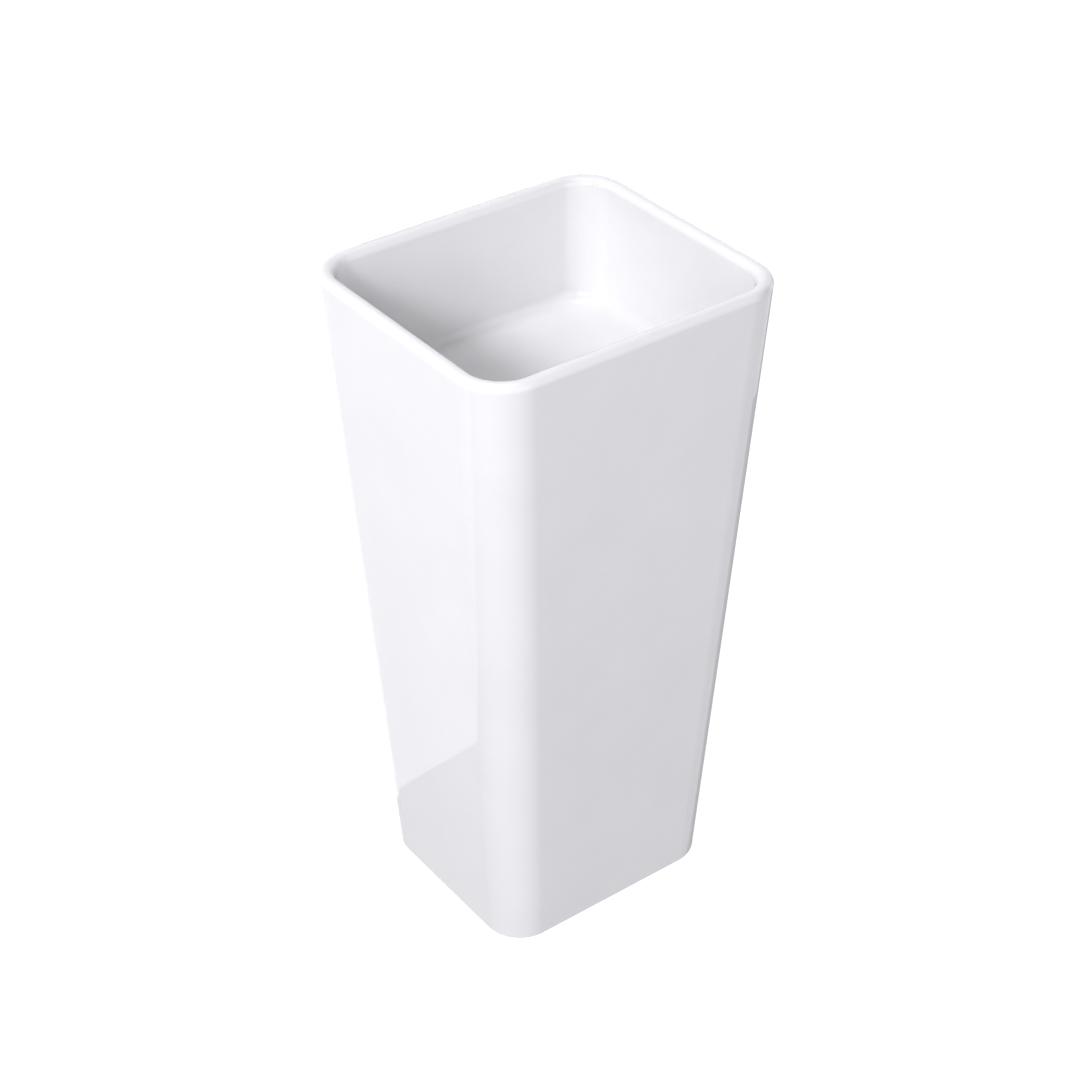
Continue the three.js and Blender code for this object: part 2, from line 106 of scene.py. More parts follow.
SLOT_TOP = 600.0
SLOT_CORNER = 40.0
FIXING_X = 94.0
FIXING_Z = 60.0
FIXING_HOLE = 6.0
ROSETTE_RADIUS = 35.0
GAP = 0.3  # between touching pieces

CORNER_STEPS = 28  # facets on each corner of the body's outline
ARC_STEPS = 12  # facets on each rounded edge of the body


def outline(z, inset):
    """Half width, half depth and corner radius of the body at height z, moved inwards by inset."""
    share = z / HEIGHT
    return [
        FOOT_OUTLINE[key] + (RIM_OUTLINE[key] - FOOT_OUTLINE[key]) * share - inset
        for key in ("half_x", "half_y", "corner")
    ]


def rear_face(z):
    return outline(z, 0)[1]


REAR_SLOPE = math.atan((RIM_OUTLINE["half_y"] - FOOT_OUTLINE["half_y"]) / HEIGHT)


# ---------- mesh tools ----------


def make_object(name, bm, material, sharp=35):
    """A smooth-shaded object from a bmesh in millimetres; edges sharper than sharp degrees stay sharp."""
    bmesh.ops.recalc_face_normals(bm, faces=bm.faces)
    bmesh.ops.scale(bm, vec=(MM, MM, MM), verts=bm.verts)
    mesh = bpy.data.meshes.new(name)
    bm.to_mesh(mesh)
    bm.free()
    for each in material if isinstance(material, (list, tuple)) else [material]:
        mesh.materials.append(each)
    mesh.shade_smooth()
    mesh.set_sharp_from_angle(angle=math.radians(sharp))
    obj = bpy.data.objects.new(name, mesh)
    bpy.context.scene.collection.objects.link(obj)
    return obj


def combine(target, tool, operation):
    """Boolean of target with tool, applied; the tool is deleted."""
    modifier = target.modifiers.new("combine", "BOOLEAN")
    modifier.operation = operation
    modifier.solver = "MANIFOLD"
    modifier.object = tool
    bpy.context.view_layer.update()
    evaluated = target.evaluated_get(bpy.context.evaluated_depsgraph_get())
    mesh = bpy.data.meshes.new_from_object(evaluated)
    target.modifiers.clear()
    target.data = mesh
    bpy.data.objects.remove(tool)
    return target


def shade(obj, sharp=35):
    """Smooths a finished mesh; the large faces keep their own normals up to each rounded edge."""
    obj.data.shade_smooth()
    obj.data.set_sharp_from_angle(angle=math.radians(sharp))
    weighted = obj.modifiers.new("weighted normals", "WEIGHTED_NORMAL")
    weighted.keep_sharp = True
    return obj


def stand_for(node, obj):
    """obj takes the place of a CAD node: it rides with that node's body."""
    obj.name = f"{node}_detail"
    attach(obj, BODY_OF[node])
    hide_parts(node)
    return obj


def rounded(profile, radius, steps=3):
    """Rounds the corners of an [r, z] profile. A third number in a point is that corner's own radius."""
    closed = tuple(profile[0][:2]) == tuple(profile[-1][:2])
    points = profile[:-1] if closed else profile
    count = len(points)
    result = []
    for i, point in enumerate(points):
        here = Vector(point[:2])
        ends = not closed and i in (0, count - 1)
        wanted = point[2] if len(point) > 2 else radius
        if ends or wanted == 0:
            result.append(tuple(here))
            continue
        back = Vector(points[i - 1][:2]) - here
        ahead = Vector(points[(i + 1) % count][:2]) - here
        half = back.angle(ahead) / 2
        reach = min(wanted / math.tan(half), 0.45 * back.length, 0.45 * ahead.length)
        if half > math.radians(86):
            result.append(tuple(here))
            continue
        start = here + back.normalized() * reach
        end = here + ahead.normalized() * reach
        for step in range(steps + 1):
            t = step / steps
            result.append(tuple((1 - t) ** 2 * start + 2 * t * (1 - t) * here + t * t * end))
    return result + result[:1] if closed else result


def lathe(profile, segments=96, form=None):
    """bmesh of an [r, z] profile turned about Z, closed on the axis or on itself.
    form(r, z, angle) gives another radius, for threads and grips."""
    bm = bmesh.new()
    closed = tuple(profile[0]) == tuple(profile[-1])
    points = profile[:-1] if closed else profile
    rings = []
    for r, z in points:
        if r < 1e-6:
            rings.append([bm.verts.new((0, 0, z))])
            continue
        ring = []
        for i in range(segments):
            angle = TURN * i / segments
            reach = form(r, z, angle) if form else r
            ring.append(bm.verts.new((reach * math.cos(angle), reach * math.sin(angle), z)))
        rings.append(ring)
    pairs = list(zip(rings, rings[1:] + rings[:1] if closed else rings[1:]))
    for low, high in pairs:
        for i in range(segments):
            j = (i + 1) % segments
            corners = [low[i % len(low)], low[j % len(low)], high[j % len(high)], high[i % len(high)]]
            distinct = list(dict.fromkeys(corners))
            if len(distinct) > 2:
                bm.faces.new(distinct)
    return bm


def wall(radius, start, end, step):
    """Evenly spaced points up a straight wall, left unrounded, for a thread or a grip."""
    count = max(1, round(abs(end - start) / step))
    return [(radius, start + (end - start) * i / count, 0) for i in range(count + 1)]


def thread(major, start, end, pitch, depth):
    """A form for lathe(): a single-start thread cut into the outside wall of radius major."""

    def form(r, z, angle):
        if abs(r - major) > 1e-6 or not start < z < end:
            return r
        phase = ((z - start) / pitch - angle / TURN) % 1
        flank = max(0.0, min(1.0, 1.5 - abs(4 * phase - 2)))
        fade = min(1.0, (z - start) / pitch, (end - z) / pitch)
        return r - depth * flank * fade

    return form


def grip(outer, start, end, ribs, depth):
    """A form for lathe(): finger ribs down the outside of a collar."""

    def form(r, z, angle):
        if abs(r - outer) > 1e-6 or not start < z < end:
            return r
        valley = (0.5 - 0.5 * math.cos(ribs * angle)) ** 0.6
        fade = min(1.0, (z - start) / 1.2, (end - z) / 1.2)
        return r - depth * valley * fade

    return form


def turned_piece(node, profile, material, radius=0.4, segments=96, form=None, place=None):
    """A turned stand-in for a CAD node, with its corners rounded."""
    bm = lathe(rounded(profile, radius), segments, form)
    if place:
        bmesh.ops.transform(bm, matrix=place, verts=bm.verts)
    return stand_for(node, shade(make_object(node, bm, material)))


def prism(points, bottom, top):
    """bmesh of a flat outline standing from bottom to top along Z."""
    bm = bmesh.new()
    low = [bm.verts.new((x, y, bottom)) for x, y in points]
    high = [bm.verts.new((x, y, top)) for x, y in points]
    bm.faces.new(low[::-1])
    bm.faces.new(high)
    for i in range(len(points)):
        j = (i + 1) % len(points)
        bm.faces.new((low[i], low[j], high[j], high[i]))
    return bm


def hexagon(across_flats):
    reach = across_flats / math.sqrt(3)
    return [(reach * math.cos(TURN * i / 6), reach * math.sin(TURN * i / 6)) for i in range(6)]


def skin(rings, rows_of_second=()):
    """bmesh of rings of equal length joined in order, the last back to the first.
    The rows listed take the object's second material."""
    bm = bmesh.new()
    loops = [[bm.verts.new(point) for point in ring] for ring in rings]
    count = len(rings[0])
    for row, low in enumerate(loops):
        high = loops[(row + 1) % len(loops)]
        for i in range(count):
            j = (i + 1) % count
            face = bm.faces.new((low[i], low[j], high[j], high[i]))
            face.material_index = int(row in rows_of_second)
    return bm


# ---------- materials ----------


class Shader:
    """A Principled material, and short ways to add procedural detail to it."""

    def __init__(self, name, roughness=0.5, metallic=0.0, **uniform):
        self.material = bpy.data.materials.new(name)
        self.material.use_nodes = True
        self.tree = self.material.node_tree
        self.bsdf = self.tree.nodes["Principled BSDF"]
        self.bsdf.inputs["Roughness"].default_value = roughness
        self.bsdf.inputs["Metallic"].default_value = metallic
        for key, value in uniform.items():
            self.bsdf.inputs[key.replace("_", " ")].default_value = value
        self.place = self.tree.nodes.new("ShaderNodeTexCoord").outputs["Object"]
        self.height = None

    def node(self, kind, **settings):
        node = self.tree.nodes.new(kind)
        for key, value in settings.items():
            setattr(node, key, value)
        return node

    def link(self, output, socket):
        self.tree.links.new(output, socket)
        return self

    def stretched(self, factors):
        """Object coordinates scaled along each axis, so that a texture is drawn out."""
        mapping = self.node("ShaderNodeMapping")
        mapping.inputs["Scale"].default_value = factors
        self.link(self.place, mapping.inputs["Vector"])
        return mapping.outputs["Vector"]

    def noise(self, size_mm, detail=3.0, roughness=0.5, vector=None):
        """Noise whose features are about size_mm across."""
        noise = self.node("ShaderNodeTexNoise")
        noise.inputs["Scale"].default_value = 1 / (size_mm * MM)
        noise.inputs["Detail"].default_value = detail
        noise.inputs["Roughness"].default_value = roughness
        self.link(vector or self.place, noise.inputs["Vector"])
        return noise.outputs["Fac"]

    def cells(self, size_mm, vector=None):
        """Voronoi cells of about size_mm, as one random value each."""
        cells = self.node("ShaderNodeTexVoronoi")
        cells.inputs["Scale"].default_value = 1 / (size_mm * MM)
        self.link(vector or self.place, cells.inputs["Vector"])
        return cells.outputs["Color"]

    def spread(self, value, low, high, start=0.3, end=0.7):
        """value from start to end turned into low to high."""
        spread = self.node("ShaderNodeMapRange")
        spread.inputs["From Min"].default_value = start
        spread.inputs["From Max"].default_value = end
        spread.inputs["To Min"].default_value = low
        spread.inputs["To Max"].default_value = high
        self.link(value, spread.inputs["Value"])
        return spread.outputs["Result"]

    def blend(self, factor, first, second):
        """A colour between two, each an RGB triple or an output."""
        mix = self.node("ShaderNodeMix", data_type="RGBA")
        self.link(factor, mix.inputs["Factor"])
        for socket, colour in (("A", first), ("B", second)):
            target = [s for s in mix.inputs if s.name == socket and s.type == "RGBA"][0]
            if isinstance(colour, tuple):
                target.default_value = (*colour, 1)
            else:
                self.link(colour, target)
        return [s for s in mix.outputs if s.type == "RGBA"][0]

    def colour(self, output):
        return self.link(output, self.bsdf.inputs["Base Color"])

    def rough(self, output):
        return self.link(output, self.bsdf.inputs["Roughness"])

    def bump(self, value, depth_mm, strength=1.0):
        """Adds surface relief; later bumps lie on earlier ones."""
        bump = self.node("ShaderNodeBump")
        bump.inputs["Distance"].default_value = depth_mm * MM
        bump.inputs["Strength"].default_value = strength
        self.link(value, bump.inputs["Height"])
        if self.height:
            self.link(self.height, bump.inputs["Normal"])
        self.height = bump.outputs["Normal"]
        return self.link(self.height, self.bsdf.inputs["Normal"])


def glaze():
    """White vitreous glaze: a faint cloudiness, a slow ripple and the fine pitting of a fired surface."""
    shader = Shader("sanitary_glaze", roughness=0.05, IOR=1.52)
    cloud = shader.noise(90, detail=4)
    shader.colour(shader.blend(shader.spread(cloud, 0, 1), (0.795, 0.797, 0.8), (0.82, 0.822, 0.824)))
    shader.rough(shader.spread(shader.noise(14, detail=5), 0.035, 0.075))
    shader.bump(shader.noise(55, detail=1), 0.05)
    shader.bump(shader.noise(2.2, detail=2), 0.0025)
    return shader.material


def bisque():
    """Unglazed fired clay inside the foot: dusty, with dark specks."""
    shader = Shader("unglazed_clay", roughness=0.8)
    dust = shader.spread(shader.noise(40, detail=6), 0, 1)
    cloud = shader.blend(dust, (0.74, 0.71, 0.66), (0.83, 0.81, 0.77))
    specks = shader.spread(shader.noise(1.6, detail=2), 0, 1, start=0.66, end=0.72)
    shader.colour(shader.blend(specks, cloud, (0.55, 0.5, 0.44)))
    shader.rough(shader.spread(shader.noise(25, detail=5), 0.62, 0.92))
    shader.bump(shader.noise(12, detail=4), 0.35)
    shader.bump(shader.noise(0.9, detail=4), 0.08)
    return shader.material


def chrome():
    """Polished chrome plate: faint haze and wiping marks."""
    shader = Shader("polished_chrome", metallic=1.0)
    haze = shader.noise(11, detail=6)
    shader.colour(shader.blend(shader.spread(haze, 0, 1), (0.76, 0.77, 0.79), (0.84, 0.85, 0.86)))
    shader.rough(shader.spread(shader.noise(3, detail=6, roughness=0.7), 0.04, 0.12))
    shader.bump(shader.noise(0.5, detail=3), 0.0015)
    return shader.material


def brass():
    """Turned brass: tool rings round the axis and a mottled, slightly tarnished colour."""
    shader = Shader("machined_brass", metallic=1.0)
    mottle = shader.spread(shader.noise(6, detail=5), 0, 1)
    shader.colour(shader.blend(mottle, (0.58, 0.43, 0.2), (0.76, 0.61, 0.32)))
    shader.rough(shader.spread(shader.noise(2, detail=4), 0.22, 0.42))
    shader.bump(shader.noise(0.35, detail=2, vector=shader.stretched((0.05, 0.05, 1))), 0.02)
    return shader.material


def zinc():
    """Zinc-plated steel: small crystals of slightly different brightness, over a dull shine."""
    shader = Shader("zinc_plate", metallic=1.0)
    grains = shader.spread(shader.cells(2.2), 0, 1, start=0, end=1)
    shader.colour(shader.blend(grains, (0.53, 0.55, 0.58), (0.72, 0.73, 0.74)))
    shader.rough(shader.spread(shader.noise(1.4, detail=5), 0.26, 0.45))
    shader.bump(shader.noise(0.6, detail=3), 0.006)
    return shader.material


def drawn_wire():
    shader = Shader("drawn_wire", metallic=1.0)
    streaks = shader.noise(0.5, detail=4, vector=shader.stretched((1, 1, 0.25)))
    shader.colour(shader.blend(shader.spread(streaks, 0, 1), (0.42, 0.42, 0.44), (0.62, 0.62, 0.63)))
    shader.rough(shader.spread(streaks, 0.24, 0.4))
    return shader.material


def rubber():
    """Black EPDM: matt, with a little bloom and mould texture."""
    shader = Shader("black_rubber")
    bloom = shader.spread(shader.noise(7, detail=6), 0, 1)
    shader.colour(shader.blend(bloom, (0.018, 0.018, 0.02), (0.045, 0.045, 0.047)))
    shader.rough(shader.spread(shader.noise(3, detail=4), 0.6, 0.85))
    shader.bump(shader.noise(0.4, detail=3), 0.02)
    return shader.material


def moulded(name, dark, light, roughness, texture_mm, relief_mm):
    """Injection-moulded plastic: faint flow clouds, uneven gloss and the tool's texture."""
    shader = Shader(name, IOR=1.49)
    flow = shader.spread(shader.noise(35, detail=3, vector=shader.stretched((1, 1, 0.4))), 0, 1)
    shader.colour(shader.blend(flow, dark, light))
    shader.rough(shader.spread(shader.noise(9, detail=4), roughness - 0.05, roughness + 0.07))
    shader.bump(shader.noise(texture_mm, detail=2), relief_mm)
    return shader.material


GLAZE = glaze()
BISQUE = bisque()
CHROME = chrome()
BRASS = brass()
ZINC = zinc()
WIRE = drawn_wire()
RUBBER = rubber()
TRAP_PLASTIC = moulded("trap_polypropylene", (0.8, 0.8, 0.78), (0.87, 0.87, 0.85), 0.34, 0.7, 0.012)
NYLON = moulded("natural_nylon", (0.77, 0.75, 0.69), (0.84, 0.82, 0.77), 0.42, 0.5, 0.01)
GLOSS_PLASTIC = moulded("gloss_cap_plastic", (0.86, 0.86, 0.85), (0.91, 0.91, 0.9), 0.14, 3.0, 0.004)
ACETAL = moulded("grey_acetal", (0.2, 0.21, 0.23), (0.27, 0.28, 0.3), 0.38, 0.5, 0.01)


# ---------- ceramic body ----------


def outline_ring(z, inset):
    half_x, half_y, corner = outline(z, inset)
    ring = []
    for quarter in range(4):
        sign_x = 1 if quarter in (0, 3) else -1
        sign_y = 1 if quarter < 2 else -1
        for step in range(CORNER_STEPS + 1):
            angle = (quarter + step / CORNER_STEPS) * TURN / 4
            x = sign_x * (half_x - corner) + corner * math.cos(angle)
            y = sign_y * (half_y - corner) + corner * math.sin(angle)
            ring.append(Vector((x, y, z)))
    return ring


def circle_ring(z, radius):
    count = 4 * (CORNER_STEPS + 1)
    angles = [TURN * (i + 0.5) / count for i in range(count)]
    return [Vector((radius * math.cos(a), radius * math.sin(a), z)) for a in angles]


def arc_rings(centre_inset, centre_z, radius, start, end):
    """Rings round a quarter arc whose centre is centre_inset in from the outline; angles in quarter turns."""
    rings = []
    for step in range(ARC_STEPS + 1):
        angle = (start + (end - start) * step / ARC_STEPS) * TURN / 4
        inset = centre_inset + radius * math.cos(angle)
        rings.append(outline_ring(centre_z + radius * math.sin(angle), inset))
    return rings


def blend_rings(first, last, count, ease):
    """Rings between two others; ease(t) is the share of the fall in height at t across."""
    rings = []
    for step in range(1, count):
        t = step / count
        ring = [a.lerp(b, t) for a, b in zip(first, last)]
        for point, a, b in zip(ring, first, last):
            point.z = a.z + (b.z - a.z) * ease(t)
        rings.append(ring)
    return rings


def lip_rings(z, radius, round_off):
    """The rounded edge where the bowl floor turns down into the waste recess."""
    rings = []
    for step in range(7):
        angle = step / 6 * TURN / 4
        ring_radius = radius + round_off * (1 - math.sin(angle))
        rings.append(circle_ring(z - round_off * (1 - math.cos(angle)), ring_radius))
    return rings


def body_rings():
    """Up the outside, over the rim, down the bowl, through the waste hole and down the hollow foot.
    Also the rows from the waste hole on, which are not glazed."""
    cove_inset = BOWL_WALL + BOWL_COVE
    hollow_inset = SHELL_WALL + SLAB_COVE
    crest = HEIGHT - RIM_ROUND_OUT
    foot_edge = [
        outline_ring(FOOT_EASE * (1 - math.sin(a)), FOOT_EASE * (1 - math.cos(a)))
        for a in [TURN / 4 * (1 - step / 4) for step in range(5)]
    ]
    cove = arc_rings(cove_inset, BOWL_FLOOR + BOWL_COVE, BOWL_COVE, 2, 3)
    lip = lip_rings(WASTE_SEAT + 4.5, RECESS_RADIUS, 2.0)
    floor = blend_rings(cove[-1], lip[0], 24, lambda t: t * t * (1.6 - 0.6 * t))
    glazed = [
        *foot_edge,
        *arc_rings(RIM_ROUND_OUT, crest, RIM_ROUND_OUT, 2, 1),
        *arc_rings(RIM_ROUND_OUT, HEIGHT - RIM_ROUND_IN, RIM_ROUND_IN, 1, 0)[1:],
        *cove,
        *floor,
        *lip,
        circle_ring(WASTE_SEAT, RECESS_RADIUS),
        circle_ring(WASTE_SEAT, WASTE_HOLE + 1),
        circle_ring(WASTE_SEAT - 1, WASTE_HOLE),
    ]
    raw = [
        circle_ring(BOSS_BOTTOM + 1, WASTE_HOLE),
        circle_ring(BOSS_BOTTOM, WASTE_HOLE + 1),
        circle_ring(BOSS_BOTTOM, BOSS_RADIUS - 1),
        circle_ring(BOSS_BOTTOM + 1, BOSS_RADIUS),
        circle_ring(SLAB_UNDERSIDE - 1.5, BOSS_RADIUS + 2),
        circle_ring(SLAB_UNDERSIDE, BOSS_RADIUS + 5),
        *arc_rings(hollow_inset, SLAB_UNDERSIDE - SLAB_COVE, SLAB_COVE, 1, 2),
        outline_ring(1, SHELL_WALL),
        outline_ring(0, SHELL_WALL - 1),
    ]
    rows = range(len(glazed) - 1, len(glazed) + len(raw))
    return glazed + raw, rows


def arch_outline(grow):
    """The rear slot's outline, as x and z, with every side moved outwards by grow."""
    half = SLOT_HALF_WIDTH + grow
    corner = SLOT_CORNER + grow
    top = SLOT_TOP + grow
    points = [(-half, -20), (half, -20)]
    for side, start in ((1, 0), (-1, 1)):
        for step in range(17):
            angle = (start + step / 16) * TURN / 4
            x = side * (half - corner) + corner * math.cos(angle)
            points.append((x, top - corner + corner * math.sin(angle)))
    return points


def slot_cutter(material):
    """Cuts the arched slot and rounds its two long edges, by widening where it meets each face."""
    rounding = 4.0
    past = 12.0
    arc = [step / 6 * TURN / 4 for step in range(7)]
    outer = [(past, rounding)] + [(rounding * (math.cos(a) - 1), rounding * (1 - math.sin(a))) for a in arc]
    inner = [(-SHELL_WALL - depth, grow) for depth, grow in reversed(outer)]
    bm = bmesh.new()
    rings = [
        [bm.verts.new((x, rear_face(z) + depth, z)) for x, z in arch_outline(grow)]
        for depth, grow in outer + inner
    ]
    for near, far in zip(rings, rings[1:]):
        for i in range(len(near)):
            j = (i + 1) % len(near)
            bm.faces.new((near[i], near[j], far[j], far[i]))
    bm.faces.new(rings[0])
    bm.faces.new(rings[-1])
    return make_object("slot_cutter", bm, material)


def rear_place(side):
    """Where a rear fixing sits: +Z leaves the leaning rear face squarely."""
    lean = Matrix.Rotation(-(TURN / 4 + REAR_SLOPE), 4, "X")
    return Matrix.Translation((side * FIXING_X, rear_face(FIXING_Z), FIXING_Z)) @ lean


def drill(radius, side, edge=0.0):
    """A drill through the rear wall, flared by edge where it leaves each face."""
    profile = [(0, -40), (radius + edge, -40), (radius + edge, -SHELL_WALL), (radius, -SHELL_WALL + edge)]
    profile += [(radius, -edge), (radius + edge, 0), (radius + edge, 20), (0, 20)]
    bm = lathe(profile, 48)
    bmesh.ops.transform(bm, matrix=rear_place(side), verts=bm.verts)
    return bm


def ceramic_body():
    rings, raw_rows = body_rings()
    body = make_object("ceramic_body", skin(rings, raw_rows), [GLAZE, BISQUE])
    combine(body, slot_cutter(GLAZE), "DIFFERENCE")
    for side in (-1, 1):
        combine(body, make_object("drill", drill(FIXING_HOLE, side, 0.8), GLAZE), "DIFFERENCE")
    return stand_for("ceramic_body", shade(body, 30))


# ---------- click waste ----------


def top_of(node):
    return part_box(node)[1][2] / MM


def bottom_of(node):
    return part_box(node)[0][2] / MM


def radius_of(node):
    low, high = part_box(node)
    return (high[0] - low[0]) / 2 / MM


def forms(*several):
    """One form for lathe() out of several, each for its own wall."""

    def form(r, z, angle):
        for each in several:
            changed = each(r, z, angle)
            if changed != r:
                return changed
        return r

    return form


def plug_cap():
    top = top_of("plug_cap")
    edge = radius_of("plug_cap") - 1.5
    steps = 20
    dome = [(edge * (1 - i / steps), top - 2.2 * (1 - i / steps) ** 2, 0) for i in range(1, steps + 1)]
    underside = top - 2.8
    lip = top - 4.1
    profile = [(0, top - 3.8), (3.3, top - 3.8), (3.3, top - 9), (6.5, top - 9), (6.5, underside, 1)]
    profile += [(28, underside), (29.5, lip), (edge + 1.1, lip, 0.2), (edge + 1.5, top - 3.4, 0.6)]
    profile += [(edge, top - 2.2, 1), *dome]
    turned_piece("plug_cap", profile, CHROME, segments=128)


def plug_underside():
    low, high = bottom_of("plug_seal"), top_of("plug_seal")
    seal = [(22, low), (24.2, low + 0.5), (26.5, low + 1.05), (27, high), (22, high), (22, low)]
    turned_piece("plug_seal", seal, RUBBER, radius=0.35, segments=128)
    low, high = bottom_of("plug_stem"), top_of("plug_stem")
    shoulder = top_of("plug_cap") - 9 - GAP
    pitch = 1.0
    stem = [(0, low), (6.8, low), (6.8, low + 2), (3.5, low + 2), (3.5, shoulder), (3, shoulder, 0)]
    stem += [*wall(3, shoulder + 0.4, high - 0.3, pitch / 8), (2.6, high), (0, high)]
    turned_piece("plug_stem", stem, BRASS, form=thread(3, shoulder + 0.2, high, pitch, 0.5), segments=64)


def click_cartridge():
    low, high = bottom_of("click_cartridge"), top_of("click_cartridge")
    shoulder = low + 13
    pitch = 1.25
    profile = [(0, low), (3.5, low), *wall(3.9, low + 0.6, shoulder - 0.6, pitch / 8), (3.9, shoulder)]
    profile += [(9, shoulder, 0.8), *wall(9, shoulder + 2, high - 3, 1), (9, high, 0.8), (4.2, high)]
    profile += [(4.2, high - 2), (7.4, high - 2), (7.4, shoulder + 2), (0, shoulder + 2)]
    form = forms(
        thread(3.9, low + 0.5, shoulder - 0.5, pitch, 0.6),
        grip(9, shoulder + 2, high - 3, 12, 0.7),
    )
    turned_piece("click_cartridge", profile, ACETAL, form=form)


def click_spring():
    """Round wire with closed end coils. On the waste it stretches between the cartridge and the rising plug;
    this mesh does not.
    """
    wire = 0.6
    radius = radius_of("click_spring") - wire
    low, high = bottom_of("click_spring") + wire, top_of("click_spring") - wire
    turns = 6.5
    closed_turns = 0.9
    per_turn = 40
    sides = 12
    bm = bmesh.new()
    rings = []
    total = round(turns * per_turn)
    for step in range(total + 1):
        turn = step / per_turn
        closed = min(turn, closed_turns) + max(0, turn - (turns - closed_turns))
        share = max(0, min(1, (turn - closed_turns) / (turns - 2 * closed_turns)))
        open_rise = high - low - 2 * closed_turns * 2 * wire
        z = low + closed * 2 * wire + share * open_rise
        angle = turn * TURN
        out = Vector((math.cos(angle), math.sin(angle), 0))
        centre = out * radius + Vector((0, 0, z))
        ring = []
        for side in range(sides):
            around = side / sides * TURN
            offset = out * math.cos(around) + Vector((0, 0, math.sin(around)))
            ring.append(bm.verts.new(centre + offset * wire))
        rings.append(ring)
    for near, far in zip(rings, rings[1:]):
        for i in range(sides):
            j = (i + 1) % sides
            bm.faces.new((near[i], near[j], far[j], far[i]))
    bm.faces.new(rings[0])
    bm.faces.new(rings[-1])
    spring = make_object("click_spring_detail", bm, WIRE, sharp=60)
    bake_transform(spring)
    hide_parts("click_spring")


TAIL_RADIUS = 20.95
TAIL_BORE = 18.6
GAS_PITCH = 25.4 / 11  # G 1 1/4 thread


def waste_body():
    low = bottom_of("waste_body")
    flange = WASTE_SEAT + FLANGE_LIFT
    threaded = (low + 1, flange - 8)
    profile = [(TAIL_BORE, low), (TAIL_RADIUS - 0.5, low), *wall(TAIL_RADIUS, *threaded, GAS_PITCH / 8)]
    profile += [(TAIL_RADIUS, flange), (FLANGE_RADIUS, flange, 0.3), (FLANGE_RADIUS, flange + 0.7, 0.5)]
    profile += [(FLANGE_RADIUS - 0.7, flange + 1.4, 0.5), (FLANGE_RADIUS - 2.5, flange + FLANGE_LIFT, 1.5)]
    profile += [(20.5, flange - 0.4, 1.5), (TAIL_BORE, flange - 2.6, 1.5), (TAIL_BORE, low)]
    bm = lathe(rounded(profile, 0.3), 96, thread(TAIL_RADIUS, *threaded, GAS_PITCH, 1.1))
    body = make_object("waste_body", bm, CHROME)
    hub_low = low + 14
    hub_high = low + 21.7
    hub = lathe(rounded([(0, hub_low), (8, hub_low), (8, hub_high), (0, hub_high)], 0.6), 48)
    combine(body, make_object("hub", hub, CHROME), "UNION")
    reach = TAIL_BORE + 1
    for half_x, half_y in ((reach, 2), (2, reach)):
        corners = [(-half_x, -half_y), (half_x, -half_y), (half_x, half_y), (-half_x, half_y)]
        combine(body, make_object("arm", prism(corners, hub_low + 0.5, hub_low + 6.5), CHROME), "UNION")
    hub_hole = lathe([(0, 0), (4.2, 0), (4.2, HEIGHT), (0, HEIGHT)], 48)
    combine(body, make_object("hub_hole", hub_hole, CHROME), "DIFFERENCE")
    stand_for("waste_body", shade(body))


def ring_piece(node, inner, material, radius=0.3, place=None, span=None):
    """A plain round ring, such as a seal or washer; its height comes from the frame or from span."""
    low, high = span or (bottom_of(node), top_of(node))
    outer = radius_of(node)
    profile = [(inner, low), (outer, low), (outer, high), (inner, high), (inner, low)]
    turned_piece(node, profile, material, radius=radius, place=place)


def hex_solid(across_flats, bore, low, high, material, pitch=0.0):
    """A hexagon with its corners turned off, and a threaded bore if pitch is given."""
    reach = across_flats / math.sqrt(3)
    chamfer = reach - across_flats / 2
    fall = chamfer * 0.6
    blank = make_object("hex", prism(hexagon(across_flats), low, high), material)
    barrel = [(0, low), (reach - chamfer, low), (reach + 0.02, low + fall), (reach + 0.02, high - fall)]
    barrel += [(reach - chamfer, high), (0, high)]
    combine(blank, make_object("barrel", lathe(barrel, 96), material), "INTERSECT")
    if bore:
        form = thread(bore, low - 1, high + 1, pitch, 0.3) if pitch else None
        walls = wall(bore, low - 1, high + 1, pitch / 8) if pitch else [(bore, low - 1), (bore, high + 1)]
        cutter = lathe([(0, low - 1), *[(r, z) for r, z, *_ in walls], (0, high + 1)], 64, form)
        combine(blank, make_object("bore", cutter, material), "DIFFERENCE")
    return blank


def waste_clamp():
    ring_piece("flange_seal", WASTE_HOLE + 0.4, RUBBER)
    ring_piece("under_seal", TAIL_RADIUS + 0.4, RUBBER, radius=0.8)
    ring_piece("slip_washer", TAIL_RADIUS + 0.4, NYLON)
    nut = hex_solid(54, TAIL_RADIUS + 0.4, bottom_of("back_nut"), top_of("back_nut"), BRASS, GAS_PITCH)
    stand_for("back_nut", shade(nut))


# ---------- bottle trap ----------

PIPE_RADIUS = 16.0
PIPE_BORE = 14.2
OUTLET_Z = (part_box("outlet_pipe")[0][2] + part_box("outlet_pipe")[1][2]) / 2 / MM
ALONG_Y = Matrix.Translation((0, 0, OUTLET_Z)) @ Matrix.Rotation(-TURN / 4, 4, "X")


def collar_nut(node, sleeve, start, lip_start, end, place=None):
    """A hand nut: a ribbed sleeve that narrows to a lip at its far end."""
    outer = radius_of(node)
    lip = PIPE_RADIUS + 0.5
    step = 1.0 if end > start else -1.0
    ribbed = wall(outer, start + 1.5 * step, end - 2.5 * step, 1)
    profile = [(lip, end), (lip, lip_start), (sleeve, lip_start), (sleeve, start), (outer - 0.6, start)]
    profile += [*ribbed, (outer - 1.6, end, 0.8), (lip, end)]
    low, high = sorted((start + 1.5 * step, end - 2.5 * step))
    turned_piece(node, profile, TRAP_PLASTIC, segments=240, form=grip(outer, low, high, 24, 1.2), place=place)


